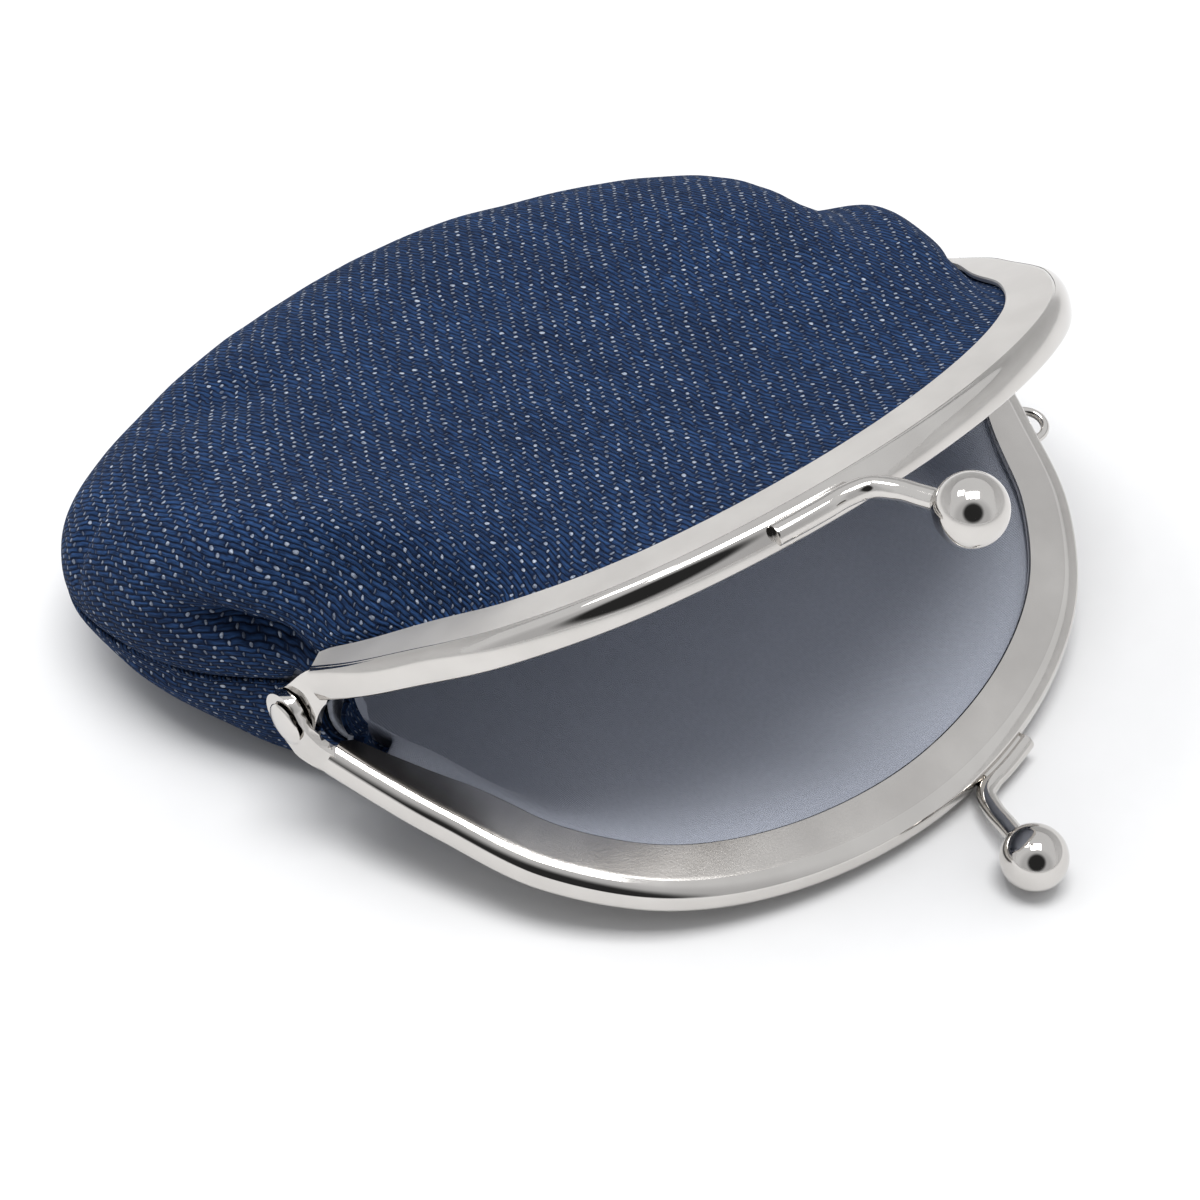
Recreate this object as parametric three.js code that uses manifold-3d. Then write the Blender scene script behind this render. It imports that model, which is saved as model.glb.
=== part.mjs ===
// Round-framed denim coin purse, lying open on its back panel.
// Millimetres, +Z up, mouth towards -Y. The purse stands on z = 0.
import * as THREE from 'three';
import { mergeVertices } from 'three/addons/utils/BufferGeometryUtils.js';
import Module from 'manifold-3d';

const wasm = await Module();
wasm.setup();

// Driving sizes of the metal frame
const archHalfWidth = 39.0;      // hinge line to leg, at the spine
const archReach = 40.0;          // hinge line to the middle of the arch, at the spine
const channelWidth = 4.1;        // across the spine, wall face to wall face
const sheet = 0.6;               // sheet metal of the frame
const wallHeight = 4.9;          // side walls at the middle of the arch
const wallHeightAtHinge = 2.3;   // side walls where they stop beside the hinge
const wallRise = 20.0;           // distance from the hinge line to full wall height
const wallStart = 6.2;           // distance from the hinge line to the start of the walls
const spineBulge = 1.0;          // how far the spine stands proud of its creases
const spineArc = 0.86;           // share of a half turn that the spine's section covers
const spineArcSteps = 4;
const spineEdge = 0.45;          // depth of the spine's two edges
const spineInset = 0.05;         // how far its edges stay inside the walls
const spineSheet = 0.9;          // depth of the spine's metal behind the creases
const creaseDepth = 0.12;        // crease between outer wall and spine
const creaseWidth = 0.35;
const innerRound = 0.8;          // depth where the inner wall begins
const halfGap = 0.8;             // hinge plane to a half's inner wall
const lowerTilt = 14.5;          // degrees, front of the lower half below the hinge
const mouthOpening = 51.2;       // degrees between the two halves

// Hinge ears and rivets
const hingeFlare = 3.0;          // outer ear's face outside the leg's spine
const hingeHalfWidth = archHalfWidth + hingeFlare;
const earSheet = 0.9;
const spineProud = 0.35;         // ear and spine outside the crease line
const earTrim = 0.1;             // how far the ear's sides stay inside the channel's
const earBlend = 0.75;           // how far the ear's end sinks into the spine
const earSteps = 6;
const earRadius = 2.6;
const earOpening = 65.0;         // degrees, half of the ear's round end that the leg takes up
const earShoulder = 0.6;         // start of the walls to the ear's full height
const earLap = 1.0;              // how far the ear runs on inside the channel
const earFlat = 4.4;             // flat stretch of the ear from the rivet
const earReach = 9.2;            // where the ear has become the leg's spine
const rivetRadius = 1.1;
const rivetHead = 1.85;
const rivetDome = 0.75;
const rivetSides = 12;
const clearance = 0.3;           // between pieces that touch

// Kiss lock: a ball on a bent wire, soldered to each half
const ballRadius = 3.03;
const ballStand = 8.9;           // spine to ball centre
const ballReach = archReach + ballStand;
const ballFoot = 0.2;            // lower ball above the surface
const frameFoot = 0.1;           // lower half's lowest edge above the surface
const wireRadius = 0.93;
const wireSteps = 14;
const solderSink = 0.3;          // how deep the wire lies in its solder
const bendOut = 0.5;             // how far the wire's bend swings off the spine
const bendDrop = 0.15;
const ballSides = 16;

// Strap eye, a small wire bow on the far leg of the lower half
const eyeReach = 14.6;           // hinge line to the middle of the bow
const eyeSpan = 3.6;
const eyeStand = 2.2;
const eyeWire = 0.45;
const eyeLift = 0.1;             // the bow's ends above the crease line
const eyeSteps = 16;
const eyePoints = 8;

// Cloth
const denimWall = 1.0;
const liningWall = 1.0;
const pouchOverhang = 9.0;       // seam beyond the legs' spines
const pouchRadius = archHalfWidth + pouchOverhang;
const pouchHeight = 36.0;        // floor to the top of the mouth, about
const seamGap = 0.3;
const slotDepth = 1.6;           // cloth edge behind the spine's creases
const slotLip = 0.6;             // straight stretch of cloth past the wall's edge
const slotRoom = channelWidth - 2 * sheet - 3 * clearance;
const slotShare = slotRoom / (denimWall + liningWall);   // the channel sets the cloth's thickness inside it
const stepsAround = 32;
const stepsAlong = 11;
const slotRows = 2;

const archSteps = 32;
const curveSamples = 400;
const wireSides = 8;
const slotStart = 0.035;         // share of the spine line before the cloth starts
const degrees = Math.PI / 180;

// Where a half stands: the lower one lies tilted, with its mouth edge just clear of the surface.
const creaseEdge = innerRound + creaseDepth;
const hingeHeight = frameFoot + (archReach - creaseEdge) * Math.sin(lowerTilt * degrees)
  + (halfGap + channelWidth) * Math.cos(lowerTilt * degrees);
const lowerBallRise = ballFoot + ballRadius - hingeHeight + ballReach * Math.sin(lowerTilt * degrees);

// Places across the arch, near side negative. drop: ball off the hinge plane, towards the other half.
const upperLock = { cut: -14.9, bend: -6.2, ball: -4.4, drop: -0.7 };
const lowerLock = { cut: 11.5, bend: 4.6, ball: 1.1, drop: -lowerBallRise / Math.cos(lowerTilt * degrees) };

// How the lock's wire runs: shares of the soldered stretch, then of the free stretch to the ball
const solderedShares = [0, 0.35, 0.7, 0.93];
const freeShares = [0.3, 0.6];

// A rivet head's outline, as shares of rivetHead and rivetDome
const rivetOutline = [
  { out: 1.00, up: 0.00 },
  { out: 1.00, up: 0.30 },
  { out: 0.80, up: 0.75 },
  { out: 0.45, up: 0.95 },
  { out: 0.00, up: 1.00 },
];

// Half of the arch from leg to middle, as shares of archHalfWidth and archReach
const archShape = [
  { across: 0.991, reach: 0.232 },
  { across: 0.951, reach: 0.375 },
  { across: 0.854, reach: 0.605 },
  { across: 0.653, reach: 0.815 },
  { across: 0.355, reach: 0.950 },
  { across: 0.000, reach: 1.000 },
];

// The side seam, from the near hinge round the back to the far hinge.
// around: degrees; reach: share of pouchRadius; height: share of pouchHeight.
const seamShape = [
  { around: 7, reach: 0.800, height: 0.36 },
  { around: 14, reach: 0.910, height: 0.32 },
  { around: 20, reach: 1.000, height: 0.29 },
  { around: 27, reach: 1.080, height: 0.27 },
  { around: 35, reach: 1.135, height: 0.26 },
  { around: 43, reach: 1.135, height: 0.26 },
  { around: 54, reach: 1.075, height: 0.26 },
  { around: 66, reach: 1.025, height: 0.26 },
  { around: 78, reach: 0.990, height: 0.26 },
  { around: 90, reach: 0.980, height: 0.26 },
  { around: 104, reach: 0.980, height: 0.26 },
  { around: 118, reach: 0.990, height: 0.26 },
  { around: 132, reach: 1.000, height: 0.26 },
  { around: 140, reach: 0.990, height: 0.27 },
  { around: 146, reach: 0.940, height: 0.28 },
  { around: 151, reach: 0.885, height: 0.29 },
  { around: 157, reach: 0.885, height: 0.31 },
  { around: 163, reach: 0.900, height: 0.33 },
  { around: 168, reach: 0.880, height: 0.35 },
  { around: 173, reach: 0.800, height: 0.36 },
];

// How the cloth swells between frame and seam, as shares of each line's own length.
// leave: along the channel's plane; rise: off that plane; crown: off the seam; lean: out past the seam.
const upperSwell = [
  { around: 7, leave: 0.10, rise: 0.20, crown: 0.25, lean: 0.08 },
  { around: 20, leave: 0.08, rise: 0.30, crown: 0.40, lean: 0.10 },
  { around: 40, leave: 0.25, rise: 0.10, crown: 0.28, lean: 0.02 },
  { around: 60, leave: 0.33, rise: 0.06, crown: 0.22, lean: 0.00 },
  { around: 90, leave: 0.36, rise: 0.04, crown: 0.19, lean: 0.00 },
  { around: 120, leave: 0.33, rise: 0.06, crown: 0.20, lean: 0.00 },
  { around: 145, leave: 0.22, rise: 0.14, crown: 0.28, lean: 0.04 },
  { around: 160, leave: 0.10, rise: 0.30, crown: 0.40, lean: 0.08 },
  { around: 173, leave: 0.10, rise: 0.20, crown: 0.25, lean: 0.08 },
];
const lowerSwell = [
  { around: 7, leave: 0.10, rise: 0.15, crown: 0.20, lean: 0.00 },
  { around: 20, leave: 0.08, rise: 0.30, crown: 0.25, lean: -0.04 },
  { around: 40, leave: 0.22, rise: 0.18, crown: 0.16, lean: 0.00 },
  { around: 60, leave: 0.28, rise: 0.16, crown: 0.17, lean: 0.00 },
  { around: 90, leave: 0.30, rise: 0.16, crown: 0.18, lean: 0.00 },
  { around: 120, leave: 0.28, rise: 0.16, crown: 0.17, lean: 0.00 },
  { around: 145, leave: 0.22, rise: 0.18, crown: 0.16, lean: 0.00 },
  { around: 160, leave: 0.08, rise: 0.30, crown: 0.25, lean: -0.04 },
  { around: 173, leave: 0.10, rise: 0.15, crown: 0.20, lean: 0.00 },
];

// Dents and puffs. around, wide: degrees; along, long: shares of the line; high: share of pouchHeight.
const upperFolds = [
  { around: 18, along: 0.30, wide: 7, long: 0.25, high: -0.04 },
  { around: 152, along: 0.65, wide: 6, long: 0.28, high: -0.06 },
];
const lowerFolds = [
  { around: 20, along: 0.30, wide: 8, long: 0.30, high: -0.02 },
];

// Reads a smooth value between the rows of a table.
function readTable(rows, column, at) {
  const last = rows.length - 1;
  const here = THREE.MathUtils.clamp(at, rows[0].around, rows[last].around);
  let i = 0;
  while (i < last - 1 && rows[i + 1].around < here) i += 1;
  const slope = (k) => {
    const a = rows[Math.max(0, k - 1)];
    const b = rows[Math.min(last, k + 1)];
    return (b[column] - a[column]) / (b.around - a.around);
  };
  const span = rows[i + 1].around - rows[i].around;
  const s = (here - rows[i].around) / span;
  const s2 = s * s;
  const s3 = s2 * s;
  return rows[i][column] * (2 * s3 - 3 * s2 + 1)
    + rows[i + 1][column] * (3 * s2 - 2 * s3)
    + slope(i) * span * (s3 - 2 * s2 + s)
    + slope(i + 1) * span * (s3 - s2);
}

// The spine line of one half in its own plane, mouth towards -Y, from -X to +X.
function archCurve(earInset) {
  const earX = hingeHalfWidth - earInset - spineProud;
  const side = [new THREE.Vector2(earX, -earFlat)];
  for (const row of archShape) {
    side.push(new THREE.Vector2(row.across * archHalfWidth, -row.reach * archReach));
  }
  const other = side.slice(0, -1).map((p) => new THREE.Vector2(-p.x, p.y));
  return new THREE.SplineCurve([...other, ...side.reverse()]);
}

// The direction into the arch, square to the spine line.
function inwardAt(curve, t) {
  const along = curve.getTangentAt(t);
  return new THREE.Vector2(-along.y, along.x);
}

function wallHeightAt(point) {
  const share = THREE.MathUtils.smoothstep(-point.y, 0, wallRise);
  return THREE.MathUtils.lerp(wallHeightAtHinge, wallHeight, share);
}

// One closed mesh from rings of points, with flat caps on the first and last.
function loft(rings, cap) {
  const count = rings[0].length;
  const positions = rings.flat().flatMap((p) => [p.x, p.y, p.z]);
  const index = [];
  for (let i = 0; i < rings.length - 1; i += 1) {
    for (let j = 0; j < count; j += 1) {
      const a = i * count + j;
      const b = i * count + ((j + 1) % count);
      index.push(a, b, b + count, a, b + count, a + count);
    }
  }
  const lastRing = (rings.length - 1) * count;
  for (const [a, b, c] of THREE.ShapeUtils.triangulateShape(cap, [])) {
    index.push(a, c, b, lastRing + a, lastRing + b, lastRing + c);
  }
  return closedGeometry(positions, index);
}

// A geometry whose faces point outwards.
function closedGeometry(positions, index) {
  const at = (i) => new THREE.Vector3(positions[3 * i], positions[3 * i + 1], positions[3 * i + 2]);
  let volume = 0;
  for (let i = 0; i < index.length; i += 3) {
    volume += at(index[i]).dot(at(index[i + 1]).cross(at(index[i + 2])));
  }
  if (volume < 0) index.reverse();
  const geometry = new THREE.BufferGeometry();
  geometry.setAttribute('position', new THREE.Float32BufferAttribute(positions, 3));
  geometry.setIndex(index);
  return geometry;
}

function toSolid(source) {
  const bare = source.clone();
  bare.deleteAttribute('normal');
  bare.deleteAttribute('uv');
  const merged = mergeVertices(bare, 1e-5);
  return new wasm.Manifold(new wasm.Mesh({
    numProp: 3,
    vertProperties: new Float32Array(merged.attributes.position.array),
    triVerts: new Uint32Array(merged.index.array),
  }));
}

function toGeometry(solid) {
  const mesh = solid.getMesh();
  const positions = [];
  for (let i = 0; i < mesh.vertProperties.length; i += mesh.numProp) {
    positions.push(...mesh.vertProperties.slice(i, i + 3));
  }
  return closedGeometry(positions, Array.from(mesh.triVerts));
}

// The U-shaped channel's section: depth inwards from the creases, offset outwards from the inner wall.
function channelSection(height) {
  const creaseStart = spineEdge + creaseDepth + creaseWidth;
  const section = [
    [height, channelWidth],
    [creaseStart, channelWidth],
    [spineEdge + creaseDepth, channelWidth - creaseDepth],
  ];
  const halfWidth = channelWidth / 2;
  for (let i = 0; i <= spineArcSteps; i += 1) {
    const turn = (0.5 - i / spineArcSteps) * Math.PI * spineArc;
    const depth = spineEdge - spineBulge * (Math.cos(turn) - Math.cos(Math.PI * spineArc / 2));
    section.push([depth, halfWidth + (halfWidth - spineInset) * Math.sin(turn)]);
  }
  section.push([innerRound, 0], [height, 0], [height, sheet], [spineSheet, sheet]);
  section.push([spineSheet, channelWidth - sheet], [height, channelWidth - sheet]);
  return section;
}

function channel(curve) {
  const line = curve.getSpacedPoints(curveSamples);
  const first = line.findIndex((p) => -p.y > wallStart) / curveSamples;
  const rings = [];
  for (let i = 0; i <= archSteps; i += 1) {
    const t = THREE.MathUtils.lerp(first, 1 - first, i / archSteps);
    const point = curve.getPointAt(t);
    const inward = inwardAt(curve, t);
    rings.push(channelSection(wallHeightAt(point)).map(([depth, offset]) => new THREE.Vector3(
      point.x + inward.x * depth,
      point.y + inward.y * depth,
      halfGap + offset,
    )));
  }
  const cap = channelSection(wallHeight).map(([depth, offset]) => new THREE.Vector2(depth, offset));
  return loft(rings, cap);
}

// Both ears of one half: bent strips, trimmed to the ear's side outline and drilled for the rivets.
function ears(curve) {
  const line = curve.getSpacedPoints(curveSamples);
  const end = line.findIndex((p) => -p.y > earReach);
  const outside = [];
  const inside = [];
  for (let i = 0; i <= earSteps; i += 1) {
    const t = (i / earSteps) * (end / curveSamples);
    const point = curve.getPointAt(t);
    const inward = inwardAt(curve, t);
    const sunk = THREE.MathUtils.smoothstep(-point.y, earFlat, earReach) * earBlend;
    outside.push(point.clone().addScaledVector(inward, sunk - spineProud));
    inside.push(point.clone().addScaledVector(inward, earSheet - spineProud));
  }
  outside.unshift(new THREE.Vector2(line[0].x - spineProud, earRadius));
  inside.unshift(new THREE.Vector2(line[0].x + earSheet - spineProud, earRadius));
  const strip = [...outside, ...inside.reverse()];
  const depth = 4 * channelWidth;
  const solids = [1, -1].map((side) => {
    const shape = new THREE.Shape(strip.map((p) => new THREE.Vector2(side * p.x, p.y)));
    const bent = new THREE.ExtrudeGeometry(shape, { depth, bevelEnabled: false, steps: 1 });
    return toSolid(bent.translate(0, 0, -depth / 2));
  });

  const top = halfGap + channelWidth - earTrim;
  const outline = new THREE.Shape();
  outline.absarc(0, 0, earRadius, earOpening * degrees, (360 - earOpening) * degrees, false);
  outline.lineTo(wallStart, halfGap + earTrim);
  outline.lineTo(earReach + earLap, halfGap + earTrim);
  outline.lineTo(earReach + earLap, top);
  outline.lineTo(wallStart + earShoulder, top);
  const width = 2 * (hingeHalfWidth + earRadius);
  const across = { depth: width, bevelEnabled: false, steps: 1, curveSegments: 10 };
  const profile = new THREE.ExtrudeGeometry(outline, across);
  profile.applyMatrix4(new THREE.Matrix4().makeBasis(
    new THREE.Vector3(0, -1, 0),
    new THREE.Vector3(0, 0, 1),
    new THREE.Vector3(-1, 0, 0),
  ));
  profile.translate(width / 2, 0, 0);
  const bore = rivetRadius + clearance;
  const hole = new THREE.CylinderGeometry(bore, bore, width, rivetSides);
  hole.rotateZ(Math.PI / 2);
  return solids[0].add(solids[1]).intersect(toSolid(profile)).subtract(toSolid(hole));
}

// A round wire along points, with flat ends.
function wire(points, radius, steps) {
  const section = [];
  for (let i = 0; i < wireSides; i += 1) {
    const turn = (i / wireSides) * 2 * Math.PI;
    section.push(new THREE.Vector2(radius * Math.cos(turn), radius * Math.sin(turn)));
  }
  const path = new THREE.CatmullRomCurve3(points, false, 'centripetal');
  const options = { steps, bevelEnabled: false, extrudePath: path };
  return new THREE.ExtrudeGeometry(new THREE.Shape(section), options);
}

// The spine's height under a point across the arch.
function spineAcross(curve, x) {
  const line = curve.getSpacedPoints(curveSamples);
  return line.reduce((best, p) => (p.y < 0 && Math.abs(p.x - x) < Math.abs(best.x - x) ? p : best));
}

// Wire and ball, in a half's own frame. flip is -1 where the half is turned over.
function lock(curve, sizes, flip) {
  const stand = spineProud + wireRadius - solderSink;
  const middle = halfGap + channelWidth / 2;
  const onSpine = (x) => {
    const p = spineAcross(curve, flip * x);
    return new THREE.Vector3(p.x, p.y - stand, middle);
  };
  const bend = onSpine(sizes.bend);
  const ball = new THREE.Vector3(flip * sizes.ball, -ballReach, sizes.drop);
  const run = sizes.bend - sizes.cut;
  const points = solderedShares.map((share) => onSpine(sizes.cut + share * run));
  points.push(new THREE.Vector3(bend.x, bend.y - bendOut, middle - bendDrop));
  points.push(...freeShares.map((share) => bend.clone().lerp(ball, share)));
  points.push(ball);
  const sphere = new THREE.SphereGeometry(ballRadius, ballSides, 0.75 * ballSides);
  sphere.rotateX(Math.PI / 2);
  sphere.translate(ball.x, ball.y, ball.z);
  return toSolid(wire(points, wireRadius, wireSteps)).add(toSolid(sphere));
}

// The strap eye: a small wire bow standing on the spine of the far leg.
function strapEye(curve) {
  const line = curve.getSpacedPoints(curveSamples);
  const at = line.findIndex((p) => -p.y > eyeReach) / curveSamples;
  const foot = curve.getPointAt(at);
  const inward = inwardAt(curve, at);
  const along = curve.getTangentAt(at);
  const points = [];
  for (let i = 0; i <= eyePoints; i += 1) {
    const turn = (i / eyePoints) * Math.PI;
    const out = eyeStand * Math.sin(turn) + eyeLift;
    const slide = (eyeSpan / 2) * Math.cos(turn);
    points.push(new THREE.Vector3(
      foot.x + along.x * slide - inward.x * out,
      foot.y + along.y * slide - inward.y * out,
      halfGap + channelWidth / 2,
    ));
  }
  return toSolid(wire(points, eyeWire, eyeSteps));
}

// A rivet from one head to the other, outwards along +X from the middle of the purse.
function rivet() {
  const outerFace = hingeHalfWidth + clearance;
  const innerFace = hingeHalfWidth - 2 * (earSheet + clearance);
  const head = (face, side) => rivetOutline.map(
    ({ out, up }) => new THREE.Vector2(out * rivetHead, face + side * up * rivetDome),
  );
  const shank = [innerFace, outerFace].map((face) => new THREE.Vector2(rivetRadius, face));
  const profile = [...head(innerFace, -1).reverse(), ...shank, ...head(outerFace, 1)];
  const lathe = new THREE.LatheGeometry(profile, rivetSides);
  return toGeometry(toSolid(lathe.rotateZ(-Math.PI / 2)));
}

// A half's place: the upper half raised, the lower half turned over and tilted down.
function placeHalf(isUpper) {
  const group = new THREE.Group();
  if (isUpper) {
    group.rotation.x = -(mouthOpening - lowerTilt) * degrees;
  } else {
    group.rotation.set(lowerTilt * degrees, Math.PI, 0);
  }
  group.position.z = hingeHeight;
  group.updateMatrix();
  return group;
}

// A cubic curve's point between two ends and their two handles.
function bezier(a, b, c, d, s) {
  const r = 1 - s;
  return new THREE.Vector3()
    .addScaledVector(a, r * r * r)
    .addScaledVector(b, 3 * r * r * s)
    .addScaledVector(c, 3 * r * s * s)
    .addScaledVector(d, s * s * s);
}

// One panel's middle surface: a row of lines from the frame's slot to the side seam.
function panelGrid(half, curve, isUpper, swell, folds) {
  const sign = isUpper ? 1 : -1;
  const offset = halfGap + channelWidth - sheet - clearance - slotShare * denimWall / 2;
  const normal = new THREE.Vector3(0, 0, 1).transformDirection(half.matrix);
  const rows = [];
  for (let i = 0; i <= stepsAround; i += 1) {
    const u = i / stepsAround;
    const around = THREE.MathUtils.lerp(seamShape[0].around, seamShape[seamShape.length - 1].around, u);
    const t = THREE.MathUtils.lerp(slotStart, 1 - slotStart, isUpper ? u : 1 - u);
    const base = curve.getPointAt(t);
    const inward = inwardAt(curve, t);
    const slotAt = (depth) => new THREE.Vector3(base.x + inward.x * depth, base.y + inward.y * depth, offset)
      .applyMatrix4(half.matrix);
    const into = new THREE.Vector3(inward.x, inward.y, 0).transformDirection(half.matrix);
    const turn = (180 - around) * degrees;
    const out = new THREE.Vector3(Math.cos(turn), Math.sin(turn), 0);
    const seam = out.clone().multiplyScalar(readTable(seamShape, 'reach', around) * pouchRadius);
    seam.z = readTable(seamShape, 'height', around) * pouchHeight + sign * seamGap / 2;
    const mouth = slotAt(wallHeightAt(base) + slotLip);
    const length = mouth.distanceTo(seam);
    const handleA = mouth.clone()
      .addScaledVector(into, readTable(swell, 'leave', around) * length)
      .addScaledVector(normal, readTable(swell, 'rise', around) * length);
    const handleB = seam.clone().addScaledVector(out, readTable(swell, 'lean', around) * length);
    handleB.z += sign * readTable(swell, 'crown', around) * length;
    const line = [slotAt(slotDepth)];
    for (let j = 0; j <= stepsAlong; j += 1) {
      const s = j / stepsAlong;
      line.push(bezier(mouth, handleA, handleB, seam, s));
    }
    rows.push({ line, out, around });
  }

  const grid = rows.map((row) => row.line);
  const normals = () => grid.map((line, i) => line.map((point, j) => {
    if (j < slotRows) return normal.clone();
    if (j === line.length - 1) return rows[i].out.clone();
    const across = grid[Math.min(i + 1, stepsAround)][j].clone().sub(grid[Math.max(i - 1, 0)][j]);
    const along = line[j + 1].clone().sub(line[j - 1]);
    return across.cross(along).multiplyScalar(sign).normalize();
  }));

  const first = normals();
  rows.forEach((row, i) => row.line.forEach((point, j) => {
    if (j < slotRows || j === row.line.length - 1) return;
    const along = (j - 1) / stepsAlong;
    for (const fold of folds) {
      const a = (row.around - fold.around) / fold.wide;
      const b = (along - fold.along) / fold.long;
      point.addScaledVector(first[i][j], fold.high * pouchHeight * Math.exp(-a * a - b * b));
    }
    point.z = Math.max(point.z, denimWall / 2);
  }));
  return { grid, normals: normals() };
}

// A closed wall between the two faces of a layer. layer(share) gives both faces' places off the panel's
// middle surface, for cloth of that share of its full thickness.
function wall(panel, layer) {
  const rows = panel.grid.length;
  const columns = panel.grid[0].length;
  const positions = [];
  for (const face of [0, 1]) {
    panel.grid.forEach((line, i) => line.forEach((point, j) => {
      const offset = layer(j < slotRows ? slotShare : 1)[face];
      const p = point.clone().addScaledVector(panel.normals[i][j], offset);
      positions.push(p.x, p.y, p.z);
    }));
  }
  const back = rows * columns;
  const at = (i, j) => i * columns + j;
  const index = [];
  const quad = (a, b, c, d) => index.push(a, b, c, a, c, d);
  for (let i = 0; i < rows - 1; i += 1) {
    for (let j = 0; j < columns - 1; j += 1) {
      quad(at(i, j), at(i + 1, j), at(i + 1, j + 1), at(i, j + 1));
      quad(back + at(i, j), back + at(i, j + 1), back + at(i + 1, j + 1), back + at(i + 1, j));
    }
  }
  for (let i = 0; i < rows - 1; i += 1) {
    const end = columns - 1;
    quad(at(i, 0), back + at(i, 0), back + at(i + 1, 0), at(i + 1, 0));
    quad(at(i, end), at(i + 1, end), back + at(i + 1, end), back + at(i, end));
  }
  for (let j = 0; j < columns - 1; j += 1) {
    const end = rows - 1;
    quad(at(0, j), at(0, j + 1), back + at(0, j + 1), back + at(0, j));
    quad(at(end, j), back + at(end, j), back + at(end, j + 1), at(end, j + 1));
  }
  return closedGeometry(positions, index);
}

const nickel = () => new THREE.MeshStandardMaterial({ color: 0xc9c5bf, roughness: 0.25, metalness: 1.0 });
const denim = () => new THREE.MeshStandardMaterial({ color: 0x1c2d55, roughness: 0.9, metalness: 0.0 });
const cotton = () => new THREE.MeshStandardMaterial({ color: 0xaeb4c0, roughness: 0.85, metalness: 0.0 });

function piece(name, geometry, material) {
  const mesh = new THREE.Mesh(geometry, material);
  mesh.name = name;
  return mesh;
}

const purse = new THREE.Group();
const upperHalf = placeHalf(true);
const lowerHalf = placeHalf(false);
const upperCurve = archCurve(earSheet + clearance);
const lowerCurve = archCurve(0);

const upperMetal = toSolid(channel(upperCurve)).add(ears(upperCurve)).add(lock(upperCurve, upperLock, 1));
upperHalf.add(piece('frame_upper', toGeometry(upperMetal), nickel()));
const lowerMetal = toSolid(channel(lowerCurve)).add(ears(lowerCurve)).add(lock(lowerCurve, lowerLock, -1))
  .add(strapEye(lowerCurve));
lowerHalf.add(piece('frame_lower', toGeometry(lowerMetal), nickel()));

for (const [name, side] of [['rivet_near', -1], ['rivet_far', 1]]) {
  const mesh = piece(name, rivet(), nickel());
  mesh.position.z = hingeHeight;
  if (side < 0) mesh.rotation.z = Math.PI;
  purse.add(mesh);
}

const denimLayer = (share) => [share * denimWall / 2, -share * denimWall / 2];
const liningLayer = (share) => {
  const outer = -share * denimWall / 2 - clearance;
  return [outer, outer - share * liningWall];
};
for (const [end, half, curve, isUpper, swell, folds] of [
  ['upper', upperHalf, upperCurve, true, upperSwell, upperFolds],
  ['lower', lowerHalf, lowerCurve, false, lowerSwell, lowerFolds],
]) {
  const panel = panelGrid(half, curve, isUpper, swell, folds);
  purse.add(piece(`denim_${end}`, wall(panel, denimLayer), denim()));
  purse.add(piece(`lining_${end}`, wall(panel, liningLayer), cotton()));
}

purse.add(upperHalf, lowerHalf);
purse.updateMatrixWorld(true);
const box = new THREE.Box3().setFromObject(purse, true);
const centre = box.getCenter(new THREE.Vector3());
purse.position.set(-centre.x, -centre.y, -box.min.z);

export default purse;
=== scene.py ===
# %% [markdown]
# # A small denim coin purse, lying open
#
# The purse has four kinds of piece: a hinged frame of nickel-plated steel with a kiss lock, two rivets, an
# outer bag of denim and a lining of pale cotton. The solids that carry them come in first and stay where
# they are. Each of the pieces below is then modelled around them, in metres, in the same place.

# %% Load the solids
import math

import bpy
import numpy as np
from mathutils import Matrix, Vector
from mathutils import noise as turbulence


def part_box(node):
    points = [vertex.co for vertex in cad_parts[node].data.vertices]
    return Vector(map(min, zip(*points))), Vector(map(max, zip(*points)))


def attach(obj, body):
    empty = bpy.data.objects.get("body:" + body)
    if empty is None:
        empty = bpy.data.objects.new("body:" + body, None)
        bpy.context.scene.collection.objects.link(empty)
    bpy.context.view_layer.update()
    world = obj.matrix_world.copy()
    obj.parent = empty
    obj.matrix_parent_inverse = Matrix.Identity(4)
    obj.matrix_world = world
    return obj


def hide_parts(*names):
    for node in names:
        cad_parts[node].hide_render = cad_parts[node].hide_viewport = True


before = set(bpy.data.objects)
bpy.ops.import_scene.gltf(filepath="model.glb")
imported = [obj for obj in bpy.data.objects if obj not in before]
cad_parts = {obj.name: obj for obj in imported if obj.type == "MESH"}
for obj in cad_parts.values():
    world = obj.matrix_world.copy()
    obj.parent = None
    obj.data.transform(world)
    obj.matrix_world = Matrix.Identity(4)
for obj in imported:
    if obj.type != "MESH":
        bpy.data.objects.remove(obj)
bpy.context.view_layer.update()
scene = bpy.context.scene
print("solids:", sorted(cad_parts))

# %% [markdown]
# ## Where the hinge is
#
# Everything on a kiss-lock frame is measured from its hinge line, which runs through the two rivets. The
# middle of that line is worked out from the rivets' own boxes, so the new pieces follow the solids if those
# change.

# %% Find the hinge
MM = 0.001


def middle_of(node):
    low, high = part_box(node)
    return (low + high) / 2


hinge = (middle_of("rivet_near") + middle_of("rivet_far")) / 2
print("hinge line, mm:", [round(value / MM, 2) for value in hinge])

# %% [markdown]
# ## Camera
#
# The purse is seen from the front left, from well above, through a fairly long lens. The camera is set by
# where it stands from the hinge and which way it is turned. A long lens draws the near end and the far end
# at nearly the same scale.

# %% Set up the camera
camera_from_hinge = Vector((-121.2, -125.3, 167.1)) * MM
camera_pitch = math.radians(43.75)
camera_heading = math.radians(-42.48)

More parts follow.
